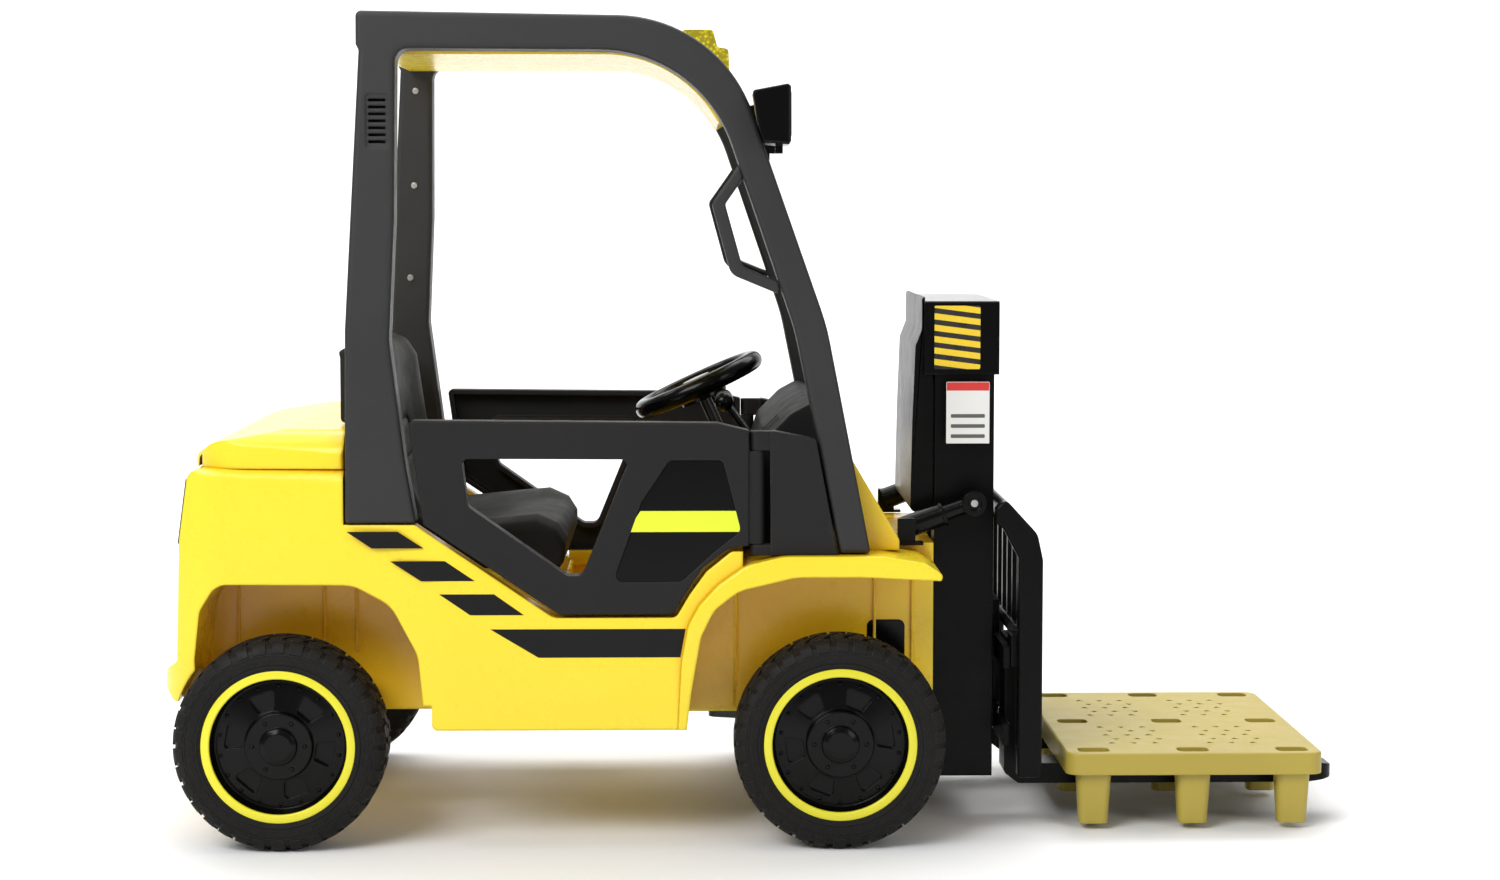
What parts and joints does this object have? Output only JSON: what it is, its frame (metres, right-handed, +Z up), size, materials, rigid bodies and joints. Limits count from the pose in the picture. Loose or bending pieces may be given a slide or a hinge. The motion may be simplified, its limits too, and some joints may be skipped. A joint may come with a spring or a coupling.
{
  "type": "toy forklift",
  "caption": "Child's ride-on electric forklift with overhead guard, swing doors, working steering, a lifting mast with forks and a lift-off pallet.",
  "frame": {"origin": "on the floor under the middle of the whole length, on the centre plane", "axes": "+X forward (towards the forks), +Y to the driver's left, +Z up"},
  "size_m": [1.27, 0.56, 0.8762],
  "materials": {
    "body_yellow": "glossy moulded",
    "guard_charcoal": "fine-grained",
    "black_gloss": "glossy",
    "mast_black": "satin",
    "frame_steel": "powder-coated",
    "bright_steel": "zinc-plated",
    "tyre_black": "moulded tread",
    "seat_charcoal": "moulded",
    "beacon_amber": "translucent amber",
    "lamp_dark": "smoked lens",
    "lens_red": "clear red",
    "pallet_mustard": "satin moulded",
    "motor_grey": "moulded"
  },
  "bodies": {
    "wheel_rear_right": {"tyre_rear_right": "tyre_black", "rim_rear_right": "black_gloss"},
    "wheel_front_right": {"tyre_front_right": "tyre_black", "rim_front_right": "black_gloss"},
    "steering_knuckle_right": {"knuckle_right": "frame_steel"},
    "side_door_right": {"door_right": "guard_charcoal"},
    "wheel_rear_left": {"tyre_rear_left": "tyre_black", "rim_rear_left": "black_gloss"},
    "wheel_front_left": {"tyre_front_left": "tyre_black", "rim_front_left": "black_gloss"},
    "steering_knuckle_left": {"knuckle_left": "frame_steel"},
    "side_door_left": {"door_left": "guard_charcoal"},
    "tie_rod_body": {"tie_rod": "bright_steel"},
    "steering": {"steering_wheel": "black_gloss", "steering_shaft": "bright_steel"},
    "horn": {"horn_button": "black_gloss"},
    "drive_lever_body": {"drive_lever": "black_gloss"},
    "lift_lever_body": {"lift_lever": "black_gloss"},
    "tilt_lever_body": {"tilt_lever": "black_gloss"},
    "pedal": {"foot_pedal": "black_gloss"},
    "lift": {"carriage": "mast_black", "load_backrest": "mast_black", "fork_right": "mast_black", "fork_left": "mast_black"},
    "lift_spindle": {"lift_screw": "bright_steel"},
    "load_pallet": {"pallet": "pallet_mustard"},
    "chassis": {"body_tub": "body_yellow", "rear_hood": "body_yellow", "front_cowl": "body_yellow", "roof_panel": "body_yellow", "fender_right": "body_yellow", "fender_left": "body_yellow", "guard_outer_right": "guard_charcoal", "guard_outer_left": "guard_charcoal", "guard_inner_right": "guard_charcoal", "guard_inner_left": "guard_charcoal", "grab_handle_right": "guard_charcoal", "grab_handle_left": "guard_charcoal", "side_panel_right": "guard_charcoal", "side_panel_left": "guard_charcoal", "dashboard": "black_gloss", "work_light_right": "black_gloss", "work_light_left": "black_gloss", "strut_right": "black_gloss", "strut_left": "black_gloss", "mast_top_cap": "black_gloss", "mast_rail_right": "mast_black", "mast_rail_left": "mast_black", "mast_back_cover": "mast_black", "front_axle_beam": "frame_steel", "rear_axle": "bright_steel", "screws": "bright_steel", "door_hinge_pins": "bright_steel", "seat": "seat_charcoal", "roof_beacon": "beacon_amber", "tail_lamps": "lamp_dark", "work_light_lenses": "lens_red", "battery": "motor_grey", "drive_motors": "motor_grey", "lift_motor": "motor_grey"}
  },
  "joints": [
    {"name": "rear_wheel_spin_right", "type": "hinge", "parent": "chassis", "child": "wheel_rear_right", "pos_m": [-0.505, -0.242, 0.112], "axis": [0, 1, 0], "continuous": true},
    {"name": "knuckle_turn_right", "type": "hinge", "parent": "chassis", "child": "steering_knuckle_right", "pos_m": [0.082, -0.192, 0.112], "axis": [0, 0, 1], "range_deg": [-20.2, 20.2]},
    {"name": "front_wheel_spin_right", "type": "hinge", "parent": "steering_knuckle_right", "child": "wheel_front_right", "pos_m": [0.082, -0.242, 0.112], "axis": [0, 1, 0], "continuous": true},
    {"name": "door_swing_right", "type": "hinge", "parent": "chassis", "child": "side_door_right", "pos_m": [-0.005, -0.251, 0.37], "axis": [0, 0, 1], "range_deg": [0, 75]},
    {"name": "rear_wheel_spin_left", "type": "hinge", "parent": "chassis", "child": "wheel_rear_left", "pos_m": [-0.505, 0.242, 0.112], "axis": [0, 1, 0], "continuous": true},
    {"name": "knuckle_turn_left", "type": "hinge", "parent": "chassis", "child": "steering_knuckle_left", "pos_m": [0.082, 0.192, 0.112], "axis": [0, 0, 1], "range_deg": [-20.2, 20.2]},
    {"name": "front_wheel_spin_left", "type": "hinge", "parent": "steering_knuckle_left", "child": "wheel_front_left", "pos_m": [0.082, 0.242, 0.112], "axis": [0, 1, 0], "continuous": true},
    {"name": "door_swing_left", "type": "hinge", "parent": "chassis", "child": "side_door_left", "pos_m": [-0.005, 0.251, 0.37], "axis": [0, 0, -1], "range_deg": [0, 75]},
    {"name": "steering_turn", "type": "hinge", "parent": "chassis", "child": "steering", "pos_m": [-0.065, 0, 0.473], "axis": [-0.4131, 0, 0.9107], "range_deg": [-40, 40]},
    {"name": "tie_rod_slide", "type": "slide", "parent": "chassis", "child": "tie_rod_body", "axis": [0, 1, 0], "range_m": [-0.0212, 0.0212]},
    {"name": "horn_press", "type": "slide", "parent": "steering", "child": "horn", "axis": [0.4131, 0, -0.9107], "range_m": [0, 0.003], "stiffness_N_per_m": 300},
    {"name": "drive_lever_tilt", "type": "hinge", "parent": "chassis", "child": "drive_lever_body", "pos_m": [0.006, -0.126, 0.402], "axis": [0, 1, 0], "range_deg": [-12, 12]},
    {"name": "lift_lever_tilt", "type": "hinge", "parent": "chassis", "child": "lift_lever_body", "pos_m": [0.006, -0.1, 0.402], "axis": [0, 1, 0], "range_deg": [-12, 12], "stiffness_Nm_per_rad": 0.15},
    {"name": "tilt_lever_tilt", "type": "hinge", "parent": "chassis", "child": "tilt_lever_body", "pos_m": [0.006, -0.074, 0.402], "axis": [0, 1, 0], "range_deg": [-12, 12], "stiffness_Nm_per_rad": 0.15},
    {"name": "pedal_press", "type": "hinge", "parent": "chassis", "child": "pedal", "pos_m": [-0.112, -0.086, 0.164], "axis": [0, 1, 0], "range_deg": [0, 14], "stiffness_Nm_per_rad": 1, "springref_deg": -8.59},
    {"name": "carriage_lift", "type": "slide", "parent": "chassis", "child": "lift", "axis": [0, 0, 1], "range_m": [0, 0.3]},
    {"name": "lift_screw_turn", "type": "hinge", "parent": "chassis", "child": "lift_spindle", "pos_m": [0.226, 0, 0.3], "axis": [0, 0, 1], "range_deg": [0, 5400.5]},
    {"name": "pallet_lift_off", "type": "slide", "parent": "lift", "child": "load_pallet", "axis": [0, 0, 1], "range_m": [0, 0.06]}
  ],
  "couplings": [
    {"joint": "knuckle_turn_right", "follows": "steering_turn", "ratio": 0.5},
    {"joint": "knuckle_turn_left", "follows": "steering_turn", "ratio": 0.5},
    {"joint": "tie_rod_slide", "follows": "steering_turn", "m_per_rad": -0.03},
    {"joint": "lift_screw_turn", "follows": "carriage_lift", "rad_per_m": 314.16}
  ]
}
